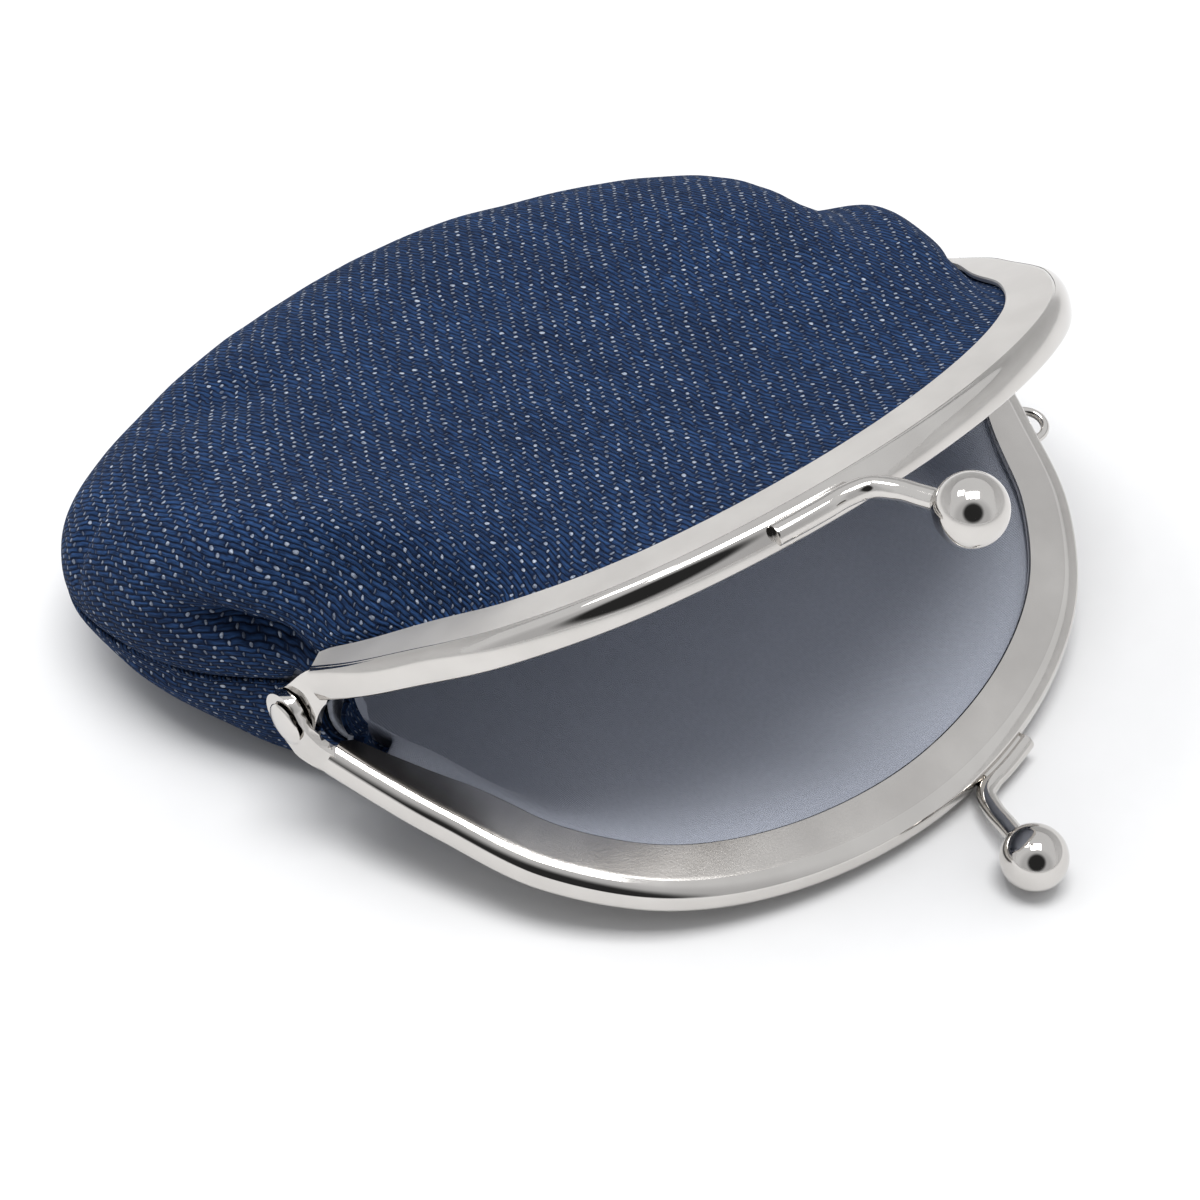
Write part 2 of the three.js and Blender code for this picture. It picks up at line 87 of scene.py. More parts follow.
bpy.ops.object.camera_add(location=hinge + camera_from_hinge, rotation=(camera_pitch, 0, camera_heading))
camera = bpy.context.object
camera.name = "camera"
camera.data.lens = 78
camera.data.sensor_width = 36
camera.data.clip_start = 0.01
scene.camera = camera
print("camera is", round(camera_from_hinge.length / MM), "mm from the hinge")

# %% [markdown]
# ## Helpers for working as by hand
#
# Blender's operators act on what is selected. These few helpers select one thing, apply its place to its
# mesh and join pieces, so that the cells below stay short.

# %% Select, apply, join


def only(piece):
    if bpy.context.object and bpy.context.object.mode != "OBJECT":
        bpy.ops.object.mode_set(mode="OBJECT")
    bpy.ops.object.select_all(action="DESELECT")
    piece.select_set(True)
    bpy.context.view_layer.objects.active = piece


def settle(piece):
    only(piece)
    bpy.ops.object.transform_apply(location=True, rotation=True, scale=True)


def apply_modifiers(piece):
    only(piece)
    for modifier in list(piece.modifiers):
        bpy.ops.object.modifier_apply(modifier=modifier.name)


def join(name, pieces):
    only(pieces[0])
    for piece in pieces[1:]:
        piece.select_set(True)
    bpy.ops.object.join()
    whole = bpy.context.object
    whole.name = name
    whole.data.name = name
    return whole


def outward_normals(piece, merge=1e-6):
    only(piece)
    bpy.ops.object.mode_set(mode="EDIT")
    bpy.ops.mesh.select_all(action="SELECT")
    bpy.ops.mesh.remove_doubles(threshold=merge)
    bpy.ops.mesh.normals_make_consistent(inside=False)
    bpy.ops.object.mode_set(mode="OBJECT")


def smooth(piece, angle):
    only(piece)
    bpy.ops.object.shade_smooth_by_angle(angle=math.radians(angle))


def triangles(piece):
    return sum(len(polygon.vertices) - 2 for polygon in piece.data.polygons)


# %% [markdown]
# ## The arch
#
# Each half of the frame is one strip bent to an arch, from hinge to hinge. Its line is a smooth curve
# through a few points, given as shares of the arch's half width and reach. At each point the curve heads
# the way its two neighbours lie. It is then cut into steps of equal length, because an even mesh reflects
# evenly. At the hinge the upper half is narrower by one ear and a gap, so that its ears lie inside the
# lower half's.

# %% Draw the arch's line
arch_half_width = 39.0
arch_reach = 40.0
hinge_half_width = 42.6
ear_proud = 0.35
ear_flat = 1.5
ear_sheet = 0.9
gap = 0.15
arch_shares = [(1.020, 0.232), (0.966, 0.375), (0.859, 0.605), (0.653, 0.815), (0.355, 0.950), (0.0, 1.0)]
fine_steps = 200


def through(points, count):
    """Evenly spaced points on a smooth curve through the given ones."""
    points = np.array(points, float)
    last = len(points) - 1
    fine = np.linspace(0, last, fine_steps * last + 1)
    at = np.minimum(fine.astype(int), last - 1)
    w = (fine - at)[:, None]
    before = points[np.maximum(at - 1, 0)]
    start, end = points[at], points[at + 1]
    after = points[np.minimum(at + 2, last)]
    leave, arrive = (end - before) / 2, (after - start) / 2
    cubic = 2 * start - 2 * end + leave + arrive
    square = 3 * end - 3 * start - 2 * leave - arrive
    curve = cubic * w**3 + square * w**2 + leave * w + start
    run = np.concatenate([[0], np.cumsum(np.linalg.norm(np.diff(curve, axis=0), axis=1))])
    even = np.linspace(0, run[-1], count)
    return np.stack([np.interp(even, run, curve[:, k]) for k in range(curve.shape[1])], 1)


def arch_line(inset, count):
    """Spine line of one half: x across, y towards the mouth as a minus, from near leg to far leg."""
    ear_x = hinge_half_width - inset - ear_proud
    side = [(ear_x, -ear_flat)] + [(a * arch_half_width, -r * arch_reach) for a, r in arch_shares]
    other = [(-x, y) for x, y in side[:-1]]
    return through(other + side[::-1], count)


upper_inset = ear_sheet + gap
arch_length = np.linalg.norm(np.diff(arch_line(0, 400), axis=0), axis=1).sum()
print("arch length, mm:", round(float(arch_length), 1))

# %% [markdown]
# ## The channel
#
# The strip is folded to a U: two walls that hold the cloth, and a convex bead between them, the spine. A
# crease parts the outer wall from the bead, and that wall leans, lowest at the crease. On its other side
# the bead drops steeply, turns to a nearly flat shoulder and runs out in the inner wall. All of this shows,
# because polished metal makes a bright or a dark line of every turn.
#
# The section is drawn as depth inwards from the arch's line, and height off the hinge plane. Each run of
# the shoulder has a tilt at its start, a tilt at its end and a length.

# %% Draw the channel's section
channel_width = 4.1
sheet = 0.6
wall_height = 4.9
wall_height_at_hinge = 2.3
wall_rise = 20.0
wall_corner = 1.6
wall_cut = 0.9
wall_start = 4.3
half_gap = 0.8
spine_bulge = 1.0
spine_back = 0.9
spine_edge = 0.45
spine_turn = 0.86 * math.pi
edge_round = 0.13
crease = [(0.72, 0.0), (0.62, 0.02), (0.54, 0.08), (0.46, 0.14), (0.39, 0.12)]
splay = 0.62
shoulder_runs = [(90, 70, 1.35), (70, 30, 0.35), (30, 10, 1.20), (10, 0, 0.50)]
shoulder_steps = 6
spine_steps = 14
spine_low = 0.05
inner_setback = 0.8


def channel_section():
    """The section's outline, and the depth at which the shoulder runs out."""
    half = channel_width / 2
    points = [(wall_height - edge_round, channel_width)]
    points += [(depth, channel_width - splay - down) for depth, down in crease]
    for i in range(spine_steps // 2 + 1):
        turn = (0.5 - i / spine_steps) * spine_turn
        depth = spine_edge - spine_bulge * (math.cos(turn) - math.cos(spine_turn / 2))
        points.append((depth, half + (half - splay - spine_low) * math.sin(turn)))
    for start, end, run in shoulder_runs:
        for i in range(shoulder_steps):
            tilt = math.radians(start + (end - start) * (i + 0.5) / shoulder_steps)
            depth, height = points[-1]
            depth += run / shoulder_steps * math.cos(tilt)
            height -= run / shoulder_steps * math.sin(tilt)
            points.append((depth, max(height, 0)))
    run_out = points[-1][0]
    for low, high, outer in [(0, sheet, False), (channel_width - sheet, channel_width, True)]:
        rim = [(wall_height - edge_round, low), (wall_height, low + edge_round),
               (wall_height, high - edge_round), (wall_height - edge_round, high)]
        inside = [(spine_back, low - splay) if outer else (spine_back + inner_setback, high)]
        points += inside + rim[:-1] if outer else rim + inside
    return points, run_out


section, shoulder_end = channel_section()
print(len(section), "points in the section, shoulder ends", round(shoulder_end, 2), "mm in")

# %% [markdown]
# The strip could be extruded along the arch step by step. A curve with the section as its bevel object does
# the same in one go, and is then converted to a mesh. The curve keeps the section square to its own line,
# so the bead runs evenly round the arch.

# %% Sweep the section along the arch
arch_steps = 150
line_points = 1200
guide_points = 60


def curve_through(name, points, closed=False):
    """A poly curve in the plane of its own X and Y, in metres."""
    data = bpy.data.curves.new(name, "CURVE")
    data.dimensions = "3D" if len(points[0]) == 3 else "2D"
    data.fill_mode = "FULL" if len(points[0]) == 3 else "NONE"
    spline = data.splines.new("POLY")
    spline.points.add(len(points) - 1)
    for point, place in zip(spline.points, points):
        point.co = [value * MM for value in place] + [0.0] * (3 - len(place)) + [1.0]
    spline.use_cyclic_u = closed
    piece = bpy.data.objects.new(name, data)
    scene.collection.objects.link(piece)
    return piece


def walled_part(line):
    """The stretch of the arch where the walls stand."""
    reach = -line[:, 1]
    inside = np.nonzero(reach > wall_start)[0]
    return line[inside[0]:inside[-1] + 1]


def sweep_channel(name, inset):
    line = walled_part(arch_line(inset, line_points))
    line = through(line[np.linspace(0, len(line) - 1, guide_points).astype(int)], arch_steps)
    path = curve_through(name, line)
    profile = curve_through("section", [(-depth, height) for depth, height in section], closed=True)
    path.data.bevel_mode = "OBJECT"
    path.data.bevel_object = profile
    path.data.use_fill_caps = True
    only(path)
    bpy.ops.object.convert(target="MESH")
    bpy.data.objects.remove(profile)
    channel = bpy.context.object
    return channel, line


def place_on_arch(channel, line):
    """Each vertex as depth inwards and height off the hinge plane, both in mm, with its step on the arch."""
    co = np.array([v.co for v in channel.data.vertices]) / MM
    step = np.argmin(np.linalg.norm(co[:, None, :2] - line[None], axis=2), axis=1)
    along = np.gradient(line, axis=0)
    along /= np.linalg.norm(along, axis=1)[:, None]
    inward = np.stack([-along[:, 1], along[:, 0]], 1)
    depth = np.sum((co[:, :2] - line[step]) * inward[step], axis=1)
    return co, step, inward, depth


# %% [markdown]
# The curve tool leaves walls of one height. On the real strip the walls are cut lower towards the hinge, so
# their free edges are slid back towards the spine there. The inner wall slides from where the shoulder
# ends, so that the shoulder keeps its form. The finishes are marked in the same pass: the outer wall is
# satin, the inner one and the foot of its shoulder have a fine grain under the plating, and the spine is
# polished.

# %% Lower the walls near the hinge and mark the finishes
SATIN, POLISHED, GRAINED = 0, 1, 2
shoulder_foot = 0.4
satin_nickel = bpy.data.materials.new("satin_nickel")
bright_nickel = bpy.data.materials.new("bright_nickel")
grained_nickel = bpy.data.materials.new("grained_nickel")


def plate(piece, finish):
    """Give a piece all three finishes, with one of them all over."""
    piece.data.materials.clear()
    for material in (satin_nickel, bright_nickel, grained_nickel):
        piece.data.materials.append(material)
    for polygon in piece.data.polygons:
        polygon.material_index = finish


def wall_height_at(reach):
    share = np.clip(reach / wall_rise, 0, 1)
    share = share * share * (3 - 2 * share)
    height = wall_height_at_hinge + share * (wall_height - wall_height_at_hinge)
    corner = np.clip((reach - wall_start) / wall_corner, 0, 1)
    return height - wall_cut * (1 - np.sqrt(1 - (1 - corner) ** 2))


def slide(depth, fixed, edge):
    """Depth after the free edge moves to a new depth, while the wall stays where it is at a fixed one."""
    return fixed + (depth - fixed) * (edge - fixed) / (wall_height - fixed)


def shape_walls(channel, line):
    co, step, inward, depth = place_on_arch(channel, line)
    edge = wall_height_at(-line[step][:, 1])
    underside = co[:, 2] < half_gap + 0.1
    lower_half = co[:, 2] < half_gap + channel_width / 2
    slid = np.where(depth > spine_back, slide(depth, spine_back, edge), depth)
    slid = np.where(underside & (depth > shoulder_end), slide(depth, shoulder_end, edge), slid)
    slid = np.where(lower_half & (depth <= shoulder_end), depth, slid)
    co[:, :2] += inward[step] * (slid - depth)[:, None]
    channel.data.vertices.foreach_set("co", (co * MM).ravel())
    channel.data.update()
    plate(channel, POLISHED)
    heights = co[:, 2]
    for polygon in channel.data.polygons:
        corners = list(polygon.vertices)
        outside = min(heights[corners]) > half_gap + channel_width / 2
        deep = min(slid[corners]) > (crease[0][0] - 0.01 if outside else shoulder_end - shoulder_foot)
        flat = max(heights[corners]) - min(heights[corners]) < (splay + 0.1 if outside else 0.09)
        if deep and flat:
            polygon.material_index = SATIN if outside else GRAINED


# %% [markdown]
# ## The ears
#
# At each end the strip loses its walls and goes on as a flat ear that turns on the rivet. An ear is
# modelled as a grid: pulled to the ear's outline, bent to the arch's line, given its thickness and rounded
# along its rim. Its inner end narrows to a neck, which goes into the channel and doesn't show.

# %% Model an ear
ear_radius = 2.85
ear_opening = math.radians(100)
ear_blend = 1.0
ear_reach = 6.8
ear_lap = 1.2
ear_columns = 40
ear_rows = 12
ear_trim = 0.1
ear_neck = 4.4
ear_neck_run = 1.2


def ease(share):
    share = min(max(share, 0.0), 1.0)
    return share * share * (3 - 2 * share)


def ear_outline(along):
    """Reach from the rivet and the ear's two edges there, for a share of its length."""
    round_share = 0.45
    if along < round_share:
        turn = (math.pi - ear_opening) * along / round_share
        return -ear_radius * math.cos(turn), -ear_radius * math.sin(turn), ear_radius * math.sin(turn)
    start = ear_radius * math.cos(ear_opening)
    edge = ear_radius * math.sin(ear_opening)
    end = ear_reach + ear_lap
    reach = start + (end - start) * (along - round_share) / (1 - round_share)
    share = ease((reach - start) / (wall_start + 0.6 - start))
    neck = ease((reach - ear_neck) / ear_neck_run)
    low = -edge + (half_gap + ear_trim + edge) * share + 0.9 * neck
    top = half_gap + channel_width - splay - ear_trim
    high = edge + (top - edge) * share - 0.3 * neck
    return reach, low, high


def ear(inset, side):
    line = arch_line(inset, 600)
    leg = line[line[:, 0] > 0][::-1]
    bpy.ops.mesh.primitive_grid_add(x_subdivisions=ear_columns, y_subdivisions=ear_rows, size=2)
    sheet_metal = bpy.context.object
    for vertex in sheet_metal.data.vertices:
        reach, low, high = ear_outline((vertex.co.x + 1) / 2)
        up = low + (high - low) * (vertex.co.y + 1) / 2
        bent = max(reach, ear_flat)
        x = float(np.interp(bent, -leg[:, 1], leg[:, 0]))
        slope = (float(np.interp(bent + 0.2, -leg[:, 1], leg[:, 0])) - x) / 0.2
        sunk = ear_blend * ease((reach - ear_flat) / (ear_reach - ear_flat)) - ear_proud
        out = 1 / math.sqrt(1 + slope * slope)
        back = sunk * slope * out if reach > ear_flat else 0
        vertex.co = Vector((side * (x - sunk * out), -reach - back, up)) * MM
    outward_normals(sheet_metal, merge=1e-5)
    thick = sheet_metal.modifiers.new("thickness", "SOLIDIFY")
    thick.thickness = ear_sheet * MM
    middle = sum((p.normal * p.area for p in sheet_metal.data.polygons), Vector())
    thick.offset = -1 if middle.x * side > 0 else 1
    rim = sheet_metal.modifiers.new("rim", "BEVEL")
    rim.width = 0.22 * MM
    rim.segments = 3
    rim.limit_method = "ANGLE"
    rim.angle_limit = math.radians(50)
    apply_modifiers(sheet_metal)
    outward_normals(sheet_metal, merge=1e-7)
    return sheet_metal


# %% [markdown]
# ## The kiss lock
#
# Each half carries a ball on a bent wire. The wire is soldered along the spine, leaves it in a bend and
# ends in the ball. Pushed past each other, the two balls hold the purse shut. A wire is a curve with a
# round bevel, and a ball is a sphere with a small collar where the wire goes in. The wire's corner is cut
# across, which makes the bend round, and a second, shorter tube stands for the solder under it.
#
# Each half has its own row: where the wire is cut and bent along the spine, where the ball is, and how far
# the ball drops off the hinge plane. The lower ball all but touches the table.

# %% Model a ball on its wire
ball_radius = 3.03
ball_reach = 48.9
wire_radius = 0.93
solder_sink = 0.3
floor_height_of_ball = 0.2
collar_from = 0.90
collar_run = 0.06
collar_rise = 0.22
lower_tilt = math.radians(14.5)
mouth_opening = math.radians(51.2)
lower_ball_rise = floor_height_of_ball + ball_radius - hinge.z / MM + ball_reach * math.sin(lower_tilt)
lower_ball_drop = -lower_ball_rise / math.cos(lower_tilt)
locks = {
    "upper": {"cut": -14.9, "bend": -6.2, "ball": -4.4, "drop": -0.7, "flip": 1},
    "lower": {"cut": 11.5, "bend": 4.1, "ball": 1.1, "drop": lower_ball_drop, "flip": -1},
}


def round_wire(name, points, radius, sides=8, steps=90):
    """A tube with rounded ends along a smooth curve through the points."""
    path = curve_through(name, [tuple(point) for point in through(points, steps)])
    path.data.bevel_depth = radius * MM
    path.data.bevel_resolution = sides
    path.data.use_fill_caps = True
    only(path)
    bpy.ops.object.convert(target="MESH")
    tube = bpy.context.object
    outward_normals(tube)
    rim = tube.modifiers.new("rim", "BEVEL")
    rim.width = 0.12 * MM
    rim.segments = 2
    rim.limit_method = "ANGLE"
    rim.angle_limit = math.radians(60)
    apply_modifiers(tube)
    return tube


def lock(half, inset):
    sizes = locks[half]
    line = arch_line(inset, 600)
    middle = half_gap + channel_width / 2
    stand = ear_proud + wire_radius - solder_sink

    def on_spine(x):
        nearest = line[np.argmin(np.abs(line[:, 0] - sizes["flip"] * x))]
        return np.array([nearest[0], nearest[1] - stand, middle])

    run = sizes["bend"] - sizes["cut"]
    points = [on_spine(sizes["cut"] + share * run) for share in (0, 0.25, 0.5, 0.74)]
    bend = on_spine(sizes["bend"])
    ball = np.array([sizes["flip"] * sizes["ball"], -ball_reach, sizes["drop"]])
    to_ball = [bend + share * (ball - bend) for share in (0.28, 0.52, 0.76, 1.0)]
    cut_corner = bend / 2 + (points[-1] + to_ball[0]) / 4
    points += [cut_corner] + to_ball
    wire = round_wire("wire", points, wire_radius)

    bpy.ops.mesh.primitive_uv_sphere_add(segments=64, ring_count=40, radius=ball_radius * MM)
    head = bpy.context.object
    towards_wire = Vector(bend - ball).normalized()
    for vertex in head.data.vertices:
        height = vertex.co.z / (ball_radius * MM)
        if height > collar_from:
            vertex.co.z += collar_rise * MM * ease((height - collar_from) / collar_run)
    head.rotation_euler = towards_wire.to_track_quat("Z", "Y").to_euler()
    head.location = Vector(ball) * MM
    settle(head)

    sunk = [(0.08, 0.75), (0.3, 0.68), (0.6, 0.68), (0.84, 0.90)]
    places = [on_spine(sizes["cut"] + share * run) + [0, wire_radius * rise, 0] for share, rise in sunk]
    solder = round_wire("solder", places, wire_radius * 0.90, steps=24)
    return [wire, head, solder]


# %% [markdown]
# ## The strap eye
#
# A small bow of thin wire stands on the far leg of the lower half, for a wrist strap. It could be a cut
# torus. A tube along a half circle is simpler, because its two ends sink into the spine by themselves.

# %% Model the strap eye
eye_reach = 14.6
eye_span = 3.6
eye_stand = 2.2
eye_wire = 0.45


def strap_eye(inset):
    line = arch_line(inset, line_points)
    at = int(np.nonzero(-line[:, 1] > eye_reach)[0][0])
    foot = line[at]
    along = line[at + 1] - line[at]
    along /= np.linalg.norm(along)
    inward = np.array([-along[1], along[0]])
    points = []
    for i in range(17):
        turn = math.pi * i / 16
        place = foot + along * (eye_span / 2) * math.cos(turn) - inward * (eye_stand * math.sin(turn) + 0.1)
        points.append((place[0], place[1], half_gap + channel_width / 2))
    return round_wire("eye", points, eye_wire, sides=5, steps=48)


# %% [markdown]
# ## Two halves
#
# Both halves are modelled flat, with the hinge line on X and the mouth towards -Y. The upper one is then
# turned up, and the lower one is turned over and tilted down to the table. The parts of a half are soldered
# on the real frame, so they are joined to one piece.

# %% Put each half together


def place_half(piece, half):
    if half == "upper":
        piece.rotation_euler = (-(mouth_opening - lower_tilt), 0, 0)
    else:
        piece.rotation_euler = (-lower_tilt, math.pi, 0)
    piece.location = hinge
    settle(piece)


def metal_half(half, inset):
    channel, line = sweep_channel("channel", inset)
    for vertex in channel.data.vertices:
        vertex.co.z += half_gap * MM
    outward_normals(channel)
    shape_walls(channel, line)
    parts = [channel] + [ear(inset, side) for side in (-1, 1)] + lock(half, inset)
    if half == "lower":
        parts.append(strap_eye(inset))
    for part in parts[1:]:
        plate(part, POLISHED)
    metal = join(half + "_metal", parts)
    smooth(metal, 38)
    place_half(metal, half)
    print(metal.name, triangles(metal), "triangles")
    return metal


upper_metal = metal_half("upper", upper_inset)
lower_metal = metal_half("lower", 0)

# %% [markdown]
# ## Rivets
#
# A rivet is round, so its outline is spun once round the hinge line. Both heads are low domes, one against
# the outer ear and one against the inner ear.

# %% Spin the rivets
rivet_radius = 1.1
rivet_head = 1.95
rivet_dome = 0.50
rivet_outline = [(1.0, 0.0), (1.03, 0.14), (1.0, 0.32), (0.93, 0.52), (0.80, 0.70), (0.62, 0.85),
                 (0.40, 0.94), (0.20, 0.985), (0.0, 1.0)]


def rivet(name, side):
    outer = hinge_half_width + gap
    inner = hinge_half_width - 2 * (ear_sheet + gap)
    head = [(out * rivet_head, up * rivet_dome) for out, up in rivet_outline]
    points = [(r, inner - h) for r, h in reversed(head)] + [(rivet_radius, inner), (rivet_radius, outer)]
    points += [(r, outer + h) for r, h in head]
    edges = [(i, i + 1) for i in range(len(points) - 1)]
    data = bpy.data.meshes.new(name)
    data.from_pydata([(x * MM, r * MM, 0) for r, x in points], edges, [])
    piece = bpy.data.objects.new(name, data)
    scene.collection.objects.link(piece)
    only(piece)
    bpy.ops.object.mode_set(mode="EDIT")
    bpy.ops.mesh.select_all(action="SELECT")
    bpy.ops.mesh.spin(steps=48, angle=2 * math.pi, center=(0, 0, 0), axis=(1, 0, 0))
    bpy.ops.object.mode_set(mode="OBJECT")
    piece.location = hinge
    if side < 0:
        piece.rotation_euler = (0, 0, math.pi)
    settle(piece)
    outward_normals(piece, merge=2e-6)
    smooth(piece, 50)
    return piece


near_rivet = rivet("near_rivet", -1)
far_rivet = rivet("far_rivet", 1)
print("rivets:", triangles(near_rivet), "triangles each")

# %% [markdown]
# ## Cloth
#
# Each panel starts as a copy of its solid, because that is where the cloth really lies. The copy's loose
# triangles are merged and turned back to quads, laid out flat as the cloth was cut, and then subdivided to
# a smooth shell.
#
# The flat lay-out matters: denim is woven flat, so its twill has to follow the cloth round every curve.
# Unwrapping with little stretch gives just that. The map is then turned until the warp runs from mouth to
# back, and scaled so that one unit is one metre of cloth.

# %% Copy, merge and lay out a panel
rim_angle = math.radians(62)


def copy_of(node, name):
    piece = bpy.data.objects.new(name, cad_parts[node].data.copy())
    scene.collection.objects.link(piece)
    piece.data.name = name
    piece.data.materials.clear()
    only(piece)
    bpy.ops.mesh.customdata_custom_splitnormals_clear()
    bpy.ops.object.mode_set(mode="EDIT")
    bpy.ops.mesh.select_all(action="SELECT")
    bpy.ops.mesh.remove_doubles(threshold=2e-6)
    bpy.ops.mesh.tris_convert_to_quads(face_threshold=math.pi, shape_threshold=math.pi)
    bpy.ops.mesh.normals_make_consistent(inside=False)
    bpy.ops.object.mode_set(mode="OBJECT")
    return piece


def lay_flat(piece, middle, mouthward):
    """UV map in metres of cloth, with V towards the mouth at the panel's middle."""
    while piece.data.uv_layers:
        piece.data.uv_layers.remove(piece.data.uv_layers[0])
    piece.data.uv_layers.new(name="cloth")
    only(piece)
    bpy.ops.object.mode_set(mode="EDIT")
    bpy.ops.mesh.select_mode(type="EDGE")
    bpy.ops.mesh.select_all(action="DESELECT")
    bpy.ops.mesh.edges_select_sharp(sharpness=rim_angle)
    bpy.ops.mesh.mark_seam(clear=False)
    bpy.ops.mesh.select_all(action="SELECT")
    bpy.ops.uv.unwrap(method="MINIMUM_STRETCH")
    bpy.ops.object.mode_set(mode="OBJECT")

    layer = piece.data.uv_layers["cloth"].data
    best = min(piece.data.polygons, key=lambda p: (p.center - middle).length)
    loops = list(best.loop_indices)[:3]
    places = [piece.data.vertices[piece.data.loops[i].vertex_index].co for i in loops]
    marks = [Vector(layer[i].uv) for i in loops]
    edges = np.array([places[1] - places[0], places[2] - places[0]]).T
    steps = np.array([marks[1] - marks[0], marks[2] - marks[0]]).T
    spread = edges @ np.linalg.inv(steps)
    towards = np.linalg.lstsq(spread, np.array(mouthward, float), rcond=None)[0]
    turn = math.pi / 2 - math.atan2(towards[1], towards[0])
    scale = 1 / np.linalg.norm(towards)
    turned = np.array([[math.cos(turn), -math.sin(turn)], [math.sin(turn), math.cos(turn)]]) * scale
    uv = np.zeros(len(layer) * 2)
    layer.foreach_get("uv", uv)
    uv = (uv.reshape(-1, 2) - np.array(marks[0])) @ turned.T
    layer.foreach_set("uv", uv.ravel())
    return scale


def subdivide(piece, levels):
    fine = piece.modifiers.new("fine", "SUBSURF")
    fine.levels = levels
    fine.render_levels = levels
    fine.uv_smooth = "PRESERVE_BOUNDARIES"
    apply_modifiers(piece)


# %% [markdown]
# The flat-cut panels take some folds once the purse is sewn. They are pushed in as by a thumb into dough.
# Each fold is a place, a direction to push, how far, the line it lies along, its length on it and its
# breadth. It could be a cloth simulation, but a short list puts each fold where the photo has it. Some rows
# beside the hinges push outwards, and bring the cloth out to the frame. Denim and lining get the same
# pushes, so they stay one inside the other. A slow unevenness on top keeps the cloth from looking blown up,
# and dies out where the frame holds it.

# %% Fold the cloth
folds = [
    ((-41.3, 7.6, 4.2), (0.83, 0.54, -0.1), 3.0, (-0.54, 0.83, 0.0), 4.8, 1.7),
    ((-38.4, 3.6, 4.6), (0.8, 0.58, 0.1), 1.9, (-0.5, 0.8, 0.1), 2.2, 1.3),
    ((-39.8, 6.6, 9.2), (-0.83, -0.5, 0.25), 1.0, (-0.5, 0.84, 0.1), 6.0, 2.6),
    ((-37.9, 3.2, 2.4), (-0.7, -0.7, 0.0), 0.9, (0.0, 0.0, 1.0), 2.4, 0.7),
    ((-44.6, 27.5, 3.0), (0.85, -0.3, -0.4), 0.8, (0.5, 0.2, 0.8), 5.0, 1.3),
    ((-43.0, 16.0, -4.5), (0.9, 0.2, 0.3), 0.7, (-0.3, 0.9, -0.1), 7.0, 1.2),
    ((37.9, 3.4, 2.6), (-0.8, 0.6, 0.0), 1.4, (0.5, 0.85, 0.0), 3.6, 1.4),
    ((-36.6, -1.6, 8.2), (-0.9, -0.2, -0.2), 1.7, (0.0, -0.8, 0.6), 5.5, 3.0),
    ((-37.8, 1.6, 4.0), (-0.35, -0.9, 0.1), 2.5, (-0.1, -0.3, 1.0), 3.3, 2.2),
    ((36.6, -1.6, 8.2), (0.9, -0.2, 0.1), 1.6, (0.0, -0.8, 0.6), 5.5, 3.0),
    ((-25.5, 31.0, 7.5), (0.3, -0.5, -0.8), 1.1, (-0.7, 0.5, -0.5), 6.5, 4.5),
    ((-6.0, 37.0, 12.0), (0.1, -0.5, -0.85), 0.9, (0.9, 0.3, -0.2), 9.0, 3.0),
]
fold_depth = 4.5
unevenness = 0.30
pouch_middle = np.array([0, 8, 0])
held_until = -2
free_after = 8


def fold(panel):
    co = np.array([v.co for v in panel.data.vertices])
    place = (co - np.array(hinge)) / MM
    moved = np.zeros_like(place)
    for middle, push, far, line, length, breadth in folds:
        push = np.array(push) / np.linalg.norm(push)
        line = np.array(line) / np.linalg.norm(line)
        off = place - middle
        run = off @ line
        depth = off @ push
        across = np.sqrt(np.maximum((off ** 2).sum(1) - run ** 2 - depth ** 2, 0))
        share = np.exp(-(run / length) ** 2 - (across / breadth) ** 2 - (depth / fold_depth) ** 2)
        moved += np.outer(share * far, push)
    outward = place - pouch_middle
    outward /= np.linalg.norm(outward, axis=1)[:, None]
    swell = np.array([turbulence.noise(Vector(p) * 0.085) + 0.5 * turbulence.noise(Vector(p) * 0.21)
                      for p in place - outward * 0.5])
    free = np.clip((place[:, 1] - held_until) / (free_after - held_until), 0, 1)
    moved += outward * (unevenness * swell * free)[:, None]
    co += moved * MM
    co[:, 2] = np.maximum(co[:, 2], 0)
    panel.data.vertices.foreach_set("co", co.ravel())
    panel.data.update()
    print(panel.name, "moved by up to", round(float(np.linalg.norm(moved, axis=1).max()), 2), "mm")


# %% [markdown]
# Two denim panels and their two linings go through the same steps. The denim is subdivided once more,
# because its outline shows against the white table. No panel moves below the table.

# %% Make the four panels
panel_middle = {"upper": hinge + Vector((0, 10, 16)) * MM, "lower": hinge + Vector((0, 8, -15)) * MM}
mouthward = Vector((0, -1, 0))
panels = {}
for half in ("upper", "lower"):
    for layer_name in ("denim", "lining"):
        panel = copy_of(f"{layer_name}_{half}", f"{half}_{layer_name}")
        scale = lay_flat(panel, panel_middle[half], mouthward)
        subdivide(panel, 3 if layer_name == "denim" else 2)
        fold(panel)
        for polygon in panel.data.polygons:
            polygon.use_smooth = True
        panels[panel.name] = panel
        print(panel.name, triangles(panel), "triangles, cloth scale", round(float(scale), 4))

# %% [markdown]
# ## Gathers at the hinge
#
# Beside each rivet the cloth leaves the channels and bunches up, because the frame folds there. A gather is
# a grid laid between two curved lines and rippled into pleats. Three lie one behind the other on each side:
# a narrow one of denim in the mouth's corner, one of lining, and a wide tuck of denim behind, which closes
# the corner from outside. Each has its lift towards the outside, its share of the way between the two
# lines, and the phase of its pleats.

